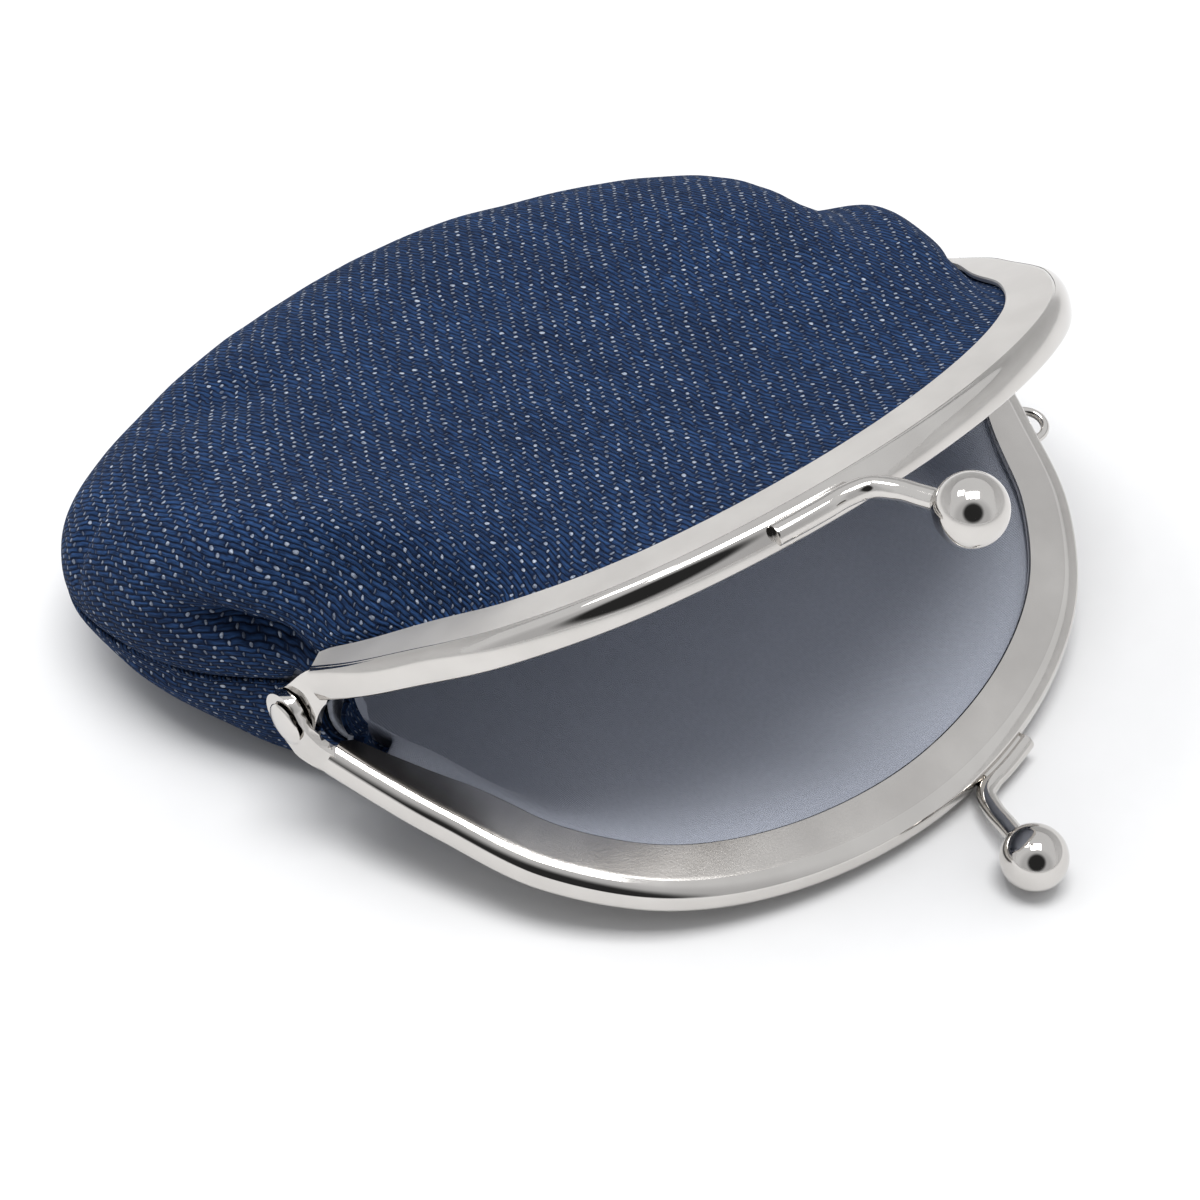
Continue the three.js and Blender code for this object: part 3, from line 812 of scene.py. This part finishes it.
# %% Pleat the gathers
gather_outer = [(-37.4, -5.0, 4.4), (-37.8, -3.0, 2.8), (-37.7, -1.6, 0.4), (-38.0, -3.6, -2.2),
                (-38.2, -7.6, -3.6)]
gather_inner = [(-34.2, -4.0, 5.0), (-33.6, -0.4, 3.0), (-33.2, 1.4, -0.4), (-33.4, -0.6, -6.2),
                (-34.8, -7.0, -6.8)]
gather_layers = {
    "denim_gather": (-0.1, 0.45, 0.4),
    "lining_gather": (0.9, 1.0, 1.9),
    "denim_tuck": (2.1, 1.25, 1.9),
}
rows = 60
columns = 24
pleats = 3
gather_length = 21 * MM
gather_width = 7 * MM
gather_sheet = 0.45 * MM


def gather(name, side, lift, depth_share, phase):
    outer = through(gather_outer, rows + 1)
    inner = through(gather_inner, rows + 1)
    bpy.ops.mesh.primitive_grid_add(x_subdivisions=rows, y_subdivisions=columns, size=2)
    sheet_of_cloth = bpy.context.object
    sheet_of_cloth.name = name
    for vertex in sheet_of_cloth.data.vertices:
        along = (vertex.co.x + 1) / 2
        inwards = (vertex.co.y + 1) / 2
        i = min(int(round(along * rows)), rows)
        base = outer[i] + (inner[i] - outer[i]) * inwards * depth_share
        turn = 2 * math.pi * pleats * (along + 0.05 * math.sin(9 * along)) + phase + 1.6 * inwards
        ripple = math.sin(turn) * (0.55 - 0.35 * inwards) * ease(along * 6) * ease((1 - along) * 6)
        tangent = outer[min(i + 1, rows)] - outer[max(i - 1, 0)]
        tangent /= np.linalg.norm(tangent)
        out = np.array([0.55, -0.8, 0.1])
        out -= tangent * (out @ tangent)
        place = base + out * (ripple - lift) + tangent * 0.5 * math.cos(turn)
        vertex.co = hinge + Vector((-side * place[0], place[1], place[2])) * MM
    thick = sheet_of_cloth.modifiers.new("thickness", "SOLIDIFY")
    thick.thickness = gather_sheet
    rounding = sheet_of_cloth.modifiers.new("rounding", "SUBSURF")
    rounding.levels = 1
    rounding.render_levels = 1
    only(sheet_of_cloth)
    while sheet_of_cloth.data.uv_layers:
        sheet_of_cloth.data.uv_layers.remove(sheet_of_cloth.data.uv_layers[0])
    sheet_of_cloth.data.uv_layers.new(name="cloth")
    layer = sheet_of_cloth.data.uv_layers["cloth"].data
    for polygon in sheet_of_cloth.data.polygons:
        for loop in polygon.loop_indices:
            vertex = sheet_of_cloth.data.loops[loop].vertex_index
            column, row = divmod(vertex, rows + 1)
            layer[loop].uv = (column / columns * gather_width, row / rows * gather_length)
    apply_modifiers(sheet_of_cloth)
    outward_normals(sheet_of_cloth, merge=1e-8)
    for polygon in sheet_of_cloth.data.polygons:
        polygon.use_smooth = True
    print(name, triangles(sheet_of_cloth), "triangles")
    return sheet_of_cloth


gathers = {}
for side_name, side in (("near", -1), ("far", 1)):
    for layer_name, (lift, depth_share, phase) in gather_layers.items():
        name = f"{side_name}_{layer_name}"
        gathers[name] = gather(name, side, lift, depth_share, phase)

# %% [markdown]
# ## Materials
#
# Every surface gets its finish from nodes. A helper adds one Math node at a time, so that a weave can be
# written down as the weaver's own arithmetic.

# %% Node helpers


def start_material(name):
    material = bpy.data.materials.new(name)
    material.use_nodes = True
    tree = material.node_tree
    return material, tree, tree.nodes["Principled BSDF"]


def feed(tree, socket, value):
    if isinstance(value, bpy.types.NodeSocket):
        tree.links.new(value, socket)
    else:
        socket.default_value = value


def maths(tree, operation, *values):
    node = tree.nodes.new("ShaderNodeMath")
    node.operation = operation
    for socket, value in zip(node.inputs, values):
        feed(tree, socket, value)
    return node.outputs[0]


def noise(tree, vector, scale, detail=2.0, rough=0.5):
    node = tree.nodes.new("ShaderNodeTexNoise")
    node.inputs["Scale"].default_value = scale
    node.inputs["Detail"].default_value = detail
    node.inputs["Roughness"].default_value = rough
    tree.links.new(vector, node.inputs["Vector"])
    return node.outputs["Fac"]


def remap(tree, value, low, high, to_low, to_high, smoothly=False):
    node = tree.nodes.new("ShaderNodeMapRange")
    node.interpolation_type = "SMOOTHSTEP" if smoothly else "LINEAR"
    for name, setting in zip(("From Min", "From Max", "To Min", "To Max"), (low, high, to_low, to_high)):
        node.inputs[name].default_value = setting
    feed(tree, node.inputs["Value"], value)
    return node.outputs["Result"]


def mix_colours(tree, share, first, second):
    node = tree.nodes.new("ShaderNodeMix")
    node.data_type = "RGBA"
    feed(tree, node.inputs["Factor"], share)
    feed(tree, node.inputs["A"], first)
    feed(tree, node.inputs["B"], second)
    return node.outputs["Result"]


def bump(tree, shader, height, distance):
    node = tree.nodes.new("ShaderNodeBump")
    node.inputs["Distance"].default_value = distance
    feed(tree, node.inputs["Height"], height)
    tree.links.new(node.outputs["Normal"], shader.inputs["Normal"])


# %% [markdown]
# ### Denim
#
# This denim is a twill: blue warp threads run from mouth to back, and white weft threads cross under two of
# them and over one. Each row shifts by one warp thread, so the white specks line up on steep diagonals. The
# nodes count threads: which warp, which pick, and how far along its float a point lies. That gives the
# colour, and the height of each thread for the bump.

# %% Count the threads
warp_pitch = 0.50 * MM
pick_pitch = 0.75 * MM
twill_period = 3.0


def count_threads(tree, place):
    """The warp and repeat a point lies in, its place in the repeat, and its squared place on the warp."""
    spread = tree.nodes.new("ShaderNodeSeparateXYZ")
    tree.links.new(place, spread.inputs[0])
    sway_across = remap(tree, noise(tree, place, 320, 3), 0.3, 0.7, -0.40, 0.40)
    sway_along = remap(tree, noise(tree, place, 520, 2), 0.3, 0.7, -0.34, 0.34)
    across = maths(tree, "ADD", maths(tree, "DIVIDE", spread.outputs["X"], warp_pitch), sway_across)
    along = maths(tree, "ADD", maths(tree, "DIVIDE", spread.outputs["Y"], pick_pitch), sway_along)
    warp = maths(tree, "FLOOR", across)
    shifted = maths(tree, "SUBTRACT", along, warp)
    phase = maths(tree, "FLOORED_MODULO", shifted, twill_period)
    repeat = maths(tree, "FLOOR", maths(tree, "DIVIDE", shifted, twill_period))
    side = maths(tree, "MULTIPLY", maths(tree, "SUBTRACT", maths(tree, "FRACT", across), 0.5), 2.0)
    return warp, repeat, phase, maths(tree, "MULTIPLY", side, side)


# %% [markdown]
# The white weft shows as a small oval where it crosses over a warp. A random number for each crossing makes
# some longer and brighter than others, and wear dims a few.

# %% Show the white specks


def white_specks(tree, place, warp, repeat, phase, side_squared):
    """How high the weft stands at a crossing, and how white the point is."""
    crossing = tree.nodes.new("ShaderNodeCombineXYZ")
    tree.links.new(warp, crossing.inputs[0])
    tree.links.new(repeat, crossing.inputs[1])
    chance = tree.nodes.new("ShaderNodeTexWhiteNoise")
    chance.noise_dimensions = "2D"
    tree.links.new(crossing.outputs[0], chance.inputs["Vector"])
    luck = chance.outputs["Value"]
    length = remap(tree, luck, 0.0, 1.0, 0.15, 0.34)
    off = maths(tree, "DIVIDE", maths(tree, "SUBTRACT", phase, 0.5), length)
    oval = maths(tree, "ADD", maths(tree, "MULTIPLY", off, off), maths(tree, "DIVIDE", side_squared, 0.80))
    height = maths(tree, "MAXIMUM", maths(tree, "SUBTRACT", 1.0, oval), 0.0)
    worn = remap(tree, noise(tree, place, 900, 2), 0.35, 0.60, 0.25, 1.0)
    show = maths(tree, "MULTIPLY", remap(tree, luck, 0.0, 0.9, 0.30, 1.0), worn)
    return height, maths(tree, "MULTIPLY", remap(tree, height, 0.0, 0.55, 0.0, 1.0, True), show)


# %% [markdown]
# The blue warp is given painted shade between its threads and where it dives under the weft, and painted
# light on top. Its tone also changes from thread to thread, with the twist of the fibres, and in slow
# patches over the cloth.

# %% Dye the warp
# The dark end is reached by dark strands and by the painted shade between threads, the pale end by pale
# strands and the painted light on thread tops.
dark_and_shaded_blue = (0.002, 0.004, 0.014, 1)
pale_and_lit_blue = (0.0105, 0.027, 0.074, 1)


def blue_warp(tree, place, fibres, warp, phase, side_squared):
    """The warp's height, and its colour with painted shade in the dips and between threads."""
    roundness = maths(tree, "SUBTRACT", 1.0, side_squared)
    float_place = maths(tree, "DIVIDE", maths(tree, "SUBTRACT", phase, (twill_period + 1) / 2), 1.22)
    arch = maths(tree, "SUBTRACT", 1.0, maths(tree, "MULTIPLY", float_place, float_place))
    height = maths(tree, "MULTIPLY", maths(tree, "SQRT", maths(tree, "MAXIMUM", arch, 0.0)), roundness)
    strand = tree.nodes.new("ShaderNodeTexWhiteNoise")
    strand.noise_dimensions = "1D"
    tree.links.new(warp, strand.inputs["W"])
    tone = maths(tree, "MULTIPLY", remap(tree, strand.outputs["Value"], 0, 1, 0.75, 1.2),
                 remap(tree, fibres, 0.3, 0.7, 0.35, 1.7))
    tone = maths(tree, "MULTIPLY", tone, remap(tree, noise(tree, place, 95, 3), 0.3, 0.7, 0.82, 1.2))
    # Painted shade: the warp is darker where it dips under the weft and towards its sides, and paler on its
    # crest.
    tone = maths(tree, "MULTIPLY", tone, remap(tree, height, 0.0, 0.8, 0.40, 1.15))
    tone = maths(tree, "MULTIPLY", tone, remap(tree, roundness, 0.08, 0.75, 0.30, 1.2, True))
    blue = mix_colours(tree, tone, dark_and_shaded_blue, pale_and_lit_blue)
    blue.node.clamp_factor = False
    return height, blue


# %% [markdown]
# The fibres are noise drawn out along the threads. The higher of warp and weft, with the fibres on top,
# goes to the bump, and the specks' whiteness mixes the two colours. Cotton has almost no gloss and a faint
# sheen.

# %% Weave the denim
dull_white = (0.18, 0.22, 0.30, 1)
clear_white = (0.50, 0.55, 0.64, 1)


def denim_material():
    material, tree, shader = start_material("denim")
    uv = tree.nodes.new("ShaderNodeUVMap")
    uv.uv_map = "cloth"
    place = uv.outputs["UV"]
    twist = tree.nodes.new("ShaderNodeMapping")
    twist.inputs["Scale"].default_value = (5200, 700, 1)
    tree.links.new(place, twist.inputs["Vector"])
    fibres = noise(tree, twist.outputs[0], 1.0, 2)
    warp, repeat, phase, side_squared = count_threads(tree, place)
    speck_height, speck_share = white_specks(tree, place, warp, repeat, phase, side_squared)
    warp_height, blue = blue_warp(tree, place, fibres, warp, phase, side_squared)
    white = mix_colours(tree, remap(tree, fibres, 0.3, 0.7, 0, 1), dull_white, clear_white)
    tree.links.new(mix_colours(tree, speck_share, blue, white), shader.inputs["Base Color"])
    height = maths(tree, "MAXIMUM", warp_height, maths(tree, "MULTIPLY", speck_height, 0.75))
    height = maths(tree, "ADD", height, maths(tree, "MULTIPLY", fibres, 0.35))
    bump(tree, shader, height, 0.17 * MM)
    shader.inputs["Roughness"].default_value = 0.9
    shader.inputs["Specular IOR Level"].default_value = 0.08
    shader.inputs["Sheen Weight"].default_value = 0.03
    shader.inputs["Sheen Roughness"].default_value = 0.5
    shader.inputs["Sheen Tint"].default_value = (0.55, 0.65, 0.9, 1)
    return material


denim = denim_material()
print("denim:", len(denim.node_tree.nodes), "nodes")

# %% [markdown]
# ### Lining
#
# The lining is a plain weave of fine cotton: threads go over and under one by one. At this size only a soft
# grain shows, so two crossed waves and a little unevenness are enough.

# %% Weave the lining
lining_pitch = 0.30 * MM


def lining_material():
    material, tree, shader = start_material("lining")
    uv = tree.nodes.new("ShaderNodeUVMap")
    uv.uv_map = "cloth"
    spread = tree.nodes.new("ShaderNodeSeparateXYZ")
    tree.links.new(uv.outputs["UV"], spread.inputs[0])
    waves = []
    for axis in ("X", "Y"):
        turn = maths(tree, "MULTIPLY", spread.outputs[axis], 2 * math.pi / lining_pitch)
        waves.append(maths(tree, "SINE", turn))
    weave = maths(tree, "MULTIPLY", waves[0], waves[1])
    slub = noise(tree, uv.outputs["UV"], 2200, 3)
    height = maths(tree, "ADD", maths(tree, "MULTIPLY", weave, 0.5), slub)
    tone = remap(tree, maths(tree, "ADD", maths(tree, "MULTIPLY", weave, 0.25), slub), 0.2, 0.8, 0.0, 1.0)
    colour = mix_colours(tree, tone, (0.39, 0.415, 0.485, 1), (0.455, 0.48, 0.55, 1))
    tree.links.new(colour, shader.inputs["Base Color"])
    bump(tree, shader, height, 0.04 * MM)
    shader.inputs["Roughness"].default_value = 0.85
    shader.inputs["Sheen Weight"].default_value = 0.15
    return material


lining = lining_material()
print("lining:", len(lining.node_tree.nodes), "nodes")

# %% [markdown]
# ### Nickel
#
# Nickel plate is a warm grey mirror. The outer walls are satin: they blur what they reflect and also
# scatter some light, so their metallic value is below one. The inner walls are grained. Towards the near
# hinge they mirror the dark inside of the pouch, which a rough surface would lose, so a dark reflection is
# painted into their tint there by place. The spine, wires, balls and rivets are bright, with a few
# hairline scratches from use.

# %% Plate the metal
plate_grey = (0.60, 0.578, 0.552, 1)
plate_pale = (0.66, 0.638, 0.610, 1)
# The dark of the painted reflection on the grained inner walls, where along X it is full, and where it has
# faded.
painted_reflection_dark = (0.045, 0.040, 0.036, 1)
painted_reflection_until = -34.8 * MM
painted_reflection_fades_after = -29.5 * MM


def nickel_nodes(material, roughness, grain_height, hairlines_share, metallic=1.0, painted_reflection_share=0.0):
    material.use_nodes = True
    tree = material.node_tree
    shader = tree.nodes["Principled BSDF"]
    place = tree.nodes.new("ShaderNodeTexCoord").outputs["Object"]
    cloud = noise(tree, place, 160, 3)
    grain = noise(tree, place, 4200, 2, 0.6)
    scratch = tree.nodes.new("ShaderNodeMapping")
    scratch.inputs["Scale"].default_value = (350, 7000, 2500)
    tree.links.new(place, scratch.inputs["Vector"])
    hairlines = remap(tree, noise(tree, scratch.outputs[0], 1.0, 3), 0.62, 0.80, 0.0, hairlines_share)
    rough = maths(tree, "ADD", roughness, maths(tree, "MULTIPLY", hairlines, 0.10))
    rough = maths(tree, "ADD", rough, remap(tree, cloud, 0.4, 0.8, 0.0, 0.05))
    tree.links.new(rough, shader.inputs["Roughness"])
    tint = mix_colours(tree, remap(tree, cloud, 0.35, 0.7, 0, 1), plate_grey, plate_pale)
    # Painted reflection: near the near hinge the tint goes towards dark, for the mirrored dark inside of the
    # pouch; past it the tint keeps a small share of the dark all over.
    if painted_reflection_share:
        spread = tree.nodes.new("ShaderNodeSeparateXYZ")
        tree.links.new(place, spread.inputs[0])
        uneven = maths(tree, "ADD", spread.outputs["X"], maths(tree, "MULTIPLY", cloud, 2.5 * MM))
        share = remap(tree, uneven, painted_reflection_until, painted_reflection_fades_after, painted_reflection_share, 0.16, True)
        tint = mix_colours(tree, share, tint, painted_reflection_dark)
    tree.links.new(tint, shader.inputs["Base Color"])
    scratched = maths(tree, "MULTIPLY", hairlines, 0.3)
    height = maths(tree, "ADD", maths(tree, "MULTIPLY", grain, grain_height), scratched)
    bump(tree, shader, height, 0.004 * MM)
    shader.inputs["Metallic"].default_value = metallic


nickel_nodes(satin_nickel, 0.42, 1.0, 0.3, metallic=0.66)
# The grained inner walls carry the painted reflection of the pouch's dark inside near the near hinge.
nickel_nodes(grained_nickel, 0.20, 1.6, 0.2, painted_reflection_share=0.92)
nickel_nodes(bright_nickel, 0.05, 0.12, 0.25)
for material in (satin_nickel, grained_nickel, bright_nickel):
    print(material.name + ":", len(material.node_tree.nodes), "nodes")

# %% [markdown]
# The frame's halves have their three finishes already, face by face. The rivets are bright all over, and
# each piece of cloth takes the weave in its name.

# %% Give each piece its finish
for piece in (near_rivet, far_rivet):
    piece.data.materials.append(bright_nickel)
for name, panel in list(panels.items()) + list(gathers.items()):
    panel.data.materials.append(denim if "denim" in name else lining)
print(len(panels) + len(gathers), "pieces of cloth")

# %% [markdown]
# ## Table and light
#
# The purse lies on a white sweep: a floor that curves up to a wall all round, so that no edge shows and the
# metal has something pale to mirror. The wall's outline is spun round, and then lowered in front, where one
# looks in.

# %% Build the sweep
sweep_outline = [(0.0, 0.0), (0.55, 0.0), (0.70, 0.012), (0.82, 0.055), (0.91, 0.13), (0.96, 0.24),
                 (0.98, 0.40), (0.98, 0.62)]
floor_drop = 0.05 * MM
front = -camera_from_hinge.xy.normalized()

data = bpy.data.meshes.new("floor")
edges = [(i, i + 1) for i in range(len(sweep_outline) - 1)]
data.from_pydata([(r, 0, z) for r, z in sweep_outline], edges, [])
floor = bpy.data.objects.new("floor", data)
scene.collection.objects.link(floor)
only(floor)
bpy.ops.object.mode_set(mode="EDIT")
bpy.ops.mesh.select_all(action="SELECT")
bpy.ops.mesh.spin(steps=96, angle=2 * math.pi, center=(0, 0, 0), axis=(0, 0, 1))
bpy.ops.mesh.select_all(action="SELECT")
bpy.ops.mesh.remove_doubles(threshold=1e-5)
bpy.ops.mesh.normals_make_consistent(inside=True)
bpy.ops.object.mode_set(mode="OBJECT")
for vertex in floor.data.vertices:
    if vertex.co.z > 0:
        towards_back = vertex.co.xy.normalized().dot(front)
        vertex.co.z *= 0.12 + 0.88 * ease((towards_back + 0.55) / 0.7)
    vertex.co.z -= floor_drop
smooth(floor, 60)
print("sweep:", triangles(floor), "triangles")

# %% [markdown]
# The sweep is matt paper, so pale that it all but burns out under the light, as in a product photo.

# %% Cover it with paper
paper, tree, shader = start_material("paper")
grain = noise(tree, tree.nodes.new("ShaderNodeTexCoord").outputs["Object"], 300, 2)
shade = mix_colours(tree, grain, (0.735, 0.735, 0.738, 1), (0.755, 0.755, 0.758, 1))
tree.links.new(shade, shader.inputs["Base Color"])
shader.inputs["Roughness"].default_value = 0.9
shader.inputs["Specular IOR Level"].default_value = 0.2
floor.data.materials.append(paper)

# %% [markdown]
# Bright metal shows what stands round it, so the light is set by what the two balls ought to mirror: one
# wide soft light overhead, a small one further back, a pale surround, a greyer opening in front, and a dark
# patch in the opening where the camera is. The opening and the patch belong to the sky, as a darkening by
# direction.

# %% Set the lights


def soft_light(name, place, size, power, aim=(0, 0, 0.015)):
    bpy.ops.object.light_add(type="AREA", location=place)
    light = bpy.context.object
    light.name = name
    light.data.shape = "RECTANGLE"
    light.data.size, light.data.size_y = size
    light.data.energy = power
    light.rotation_euler = (Vector(aim) - Vector(place)).to_track_quat("-Z", "Y").to_euler()
    return light


overhead = soft_light("overhead", (-0.05, -0.05, 0.80), (0.48, 0.28), 5.1)
overhead.rotation_euler = (0, 0, camera_heading)
soft_light("back_light", (-0.20, 0.33, 0.70), (0.22, 0.22), 1.1)

world = bpy.data.worlds.new("world")
scene.world = world
world.use_nodes = True
tree = world.node_tree
sky = tree.nodes["Background"]
sky.inputs["Color"].default_value = (0.97, 0.98, 1.0, 1)
direction = tree.nodes.new("ShaderNodeTexCoord").outputs["Generated"]


def facing(elevation):
    """How squarely a direction of the sky lies at the camera's side, at this elevation in degrees."""
    dot = tree.nodes.new("ShaderNodeVectorMath")
    dot.operation = "DOT_PRODUCT"
    tree.links.new(direction, dot.inputs[0])
    up = math.radians(elevation)
    dot.inputs[1].default_value = (-front.x * math.cos(up), -front.y * math.cos(up), math.sin(up))
    return dot.outputs["Value"]


opening = remap(tree, facing(20), 0.45, 0.75, 0.83, 0.60, True)
patch = remap(tree, facing(34), 0.82, 0.92, 1.0, 0.05, True)
tree.links.new(maths(tree, "MULTIPLY", opening, patch), sky.inputs["Strength"])
scene.view_settings.view_transform = "Standard"
print("light overhead:", round(overhead.data.energy, 1), "W at", round(overhead.location.z, 2), "m")

# %% [markdown]
# ## Body and solids
#
# Each piece is parented to the purse's body, and the solid it stands for is hidden. The gathers stand for
# no solid. The purse has one body, because cloth holds both halves of the frame.

# %% Tie the pieces to the solids
pieces = [
    (upper_metal, "frame_upper", "nickel"),
    (lower_metal, "frame_lower", "nickel"),
    (near_rivet, "rivet_near", "nickel"),
    (far_rivet, "rivet_far", "nickel"),
    (panels["upper_denim"], "denim_upper", "denim"),
    (panels["lower_denim"], "denim_lower", "denim"),
    (panels["upper_lining"], "lining_upper", "lining"),
    (panels["lower_lining"], "lining_lower", "lining"),
    (gathers["near_denim_gather"], None, "denim"),
    (gathers["far_denim_gather"], None, "denim"),
    (gathers["near_lining_gather"], None, "lining"),
    (gathers["far_lining_gather"], None, "lining"),
    (gathers["near_denim_tuck"], None, "denim"),
    (gathers["far_denim_tuck"], None, "denim"),
]
for piece, node, slot in pieces:
    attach(piece, "root")
    if node:
        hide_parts(node)
